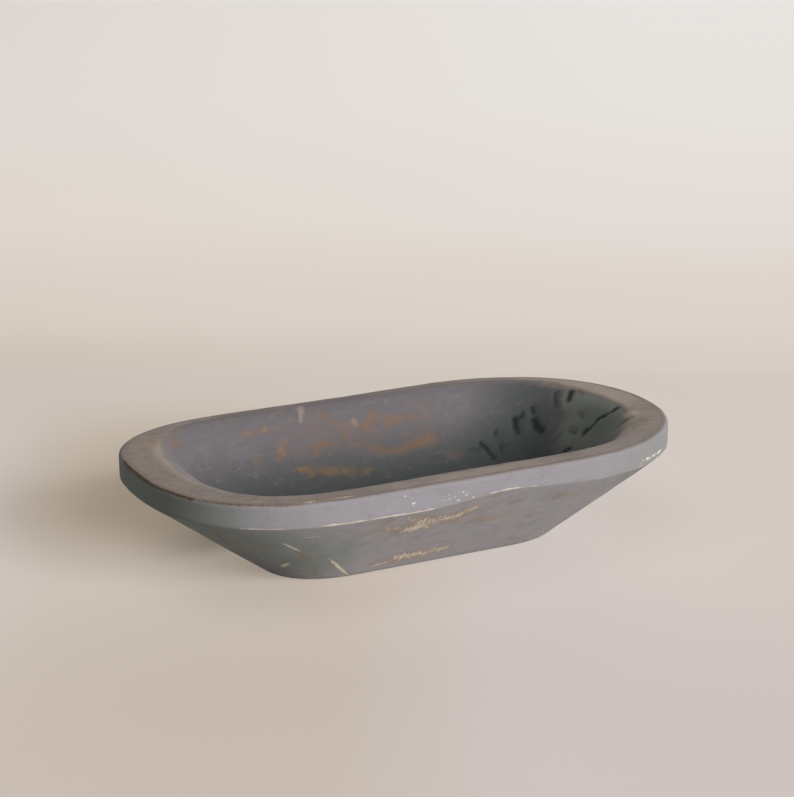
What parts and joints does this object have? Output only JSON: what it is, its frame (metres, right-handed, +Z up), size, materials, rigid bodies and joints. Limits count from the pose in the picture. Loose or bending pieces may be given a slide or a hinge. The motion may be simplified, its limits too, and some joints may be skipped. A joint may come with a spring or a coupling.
{
  "type": "wooden bowl",
  "caption": "Oblong hand-carved wooden dough bowl with a flat rim, sloping sides, a small flat base and a smooth hollow, in worn slate-grey chalk paint.",
  "frame": {"origin": "middle of the flat underside of the base", "axes": "+X along the bowl, +Y across it, +Z up out of the hollow"},
  "size_m": [0.254, 0.136, 0.0505],
  "materials": {
    "painted_wood": "matt slate-grey chalk paint over carved wood, rubbed through along the edges"
  },
  "bodies": {
    "root": {"carved_bowl": "painted_wood"}
  },
  "joints": []
}
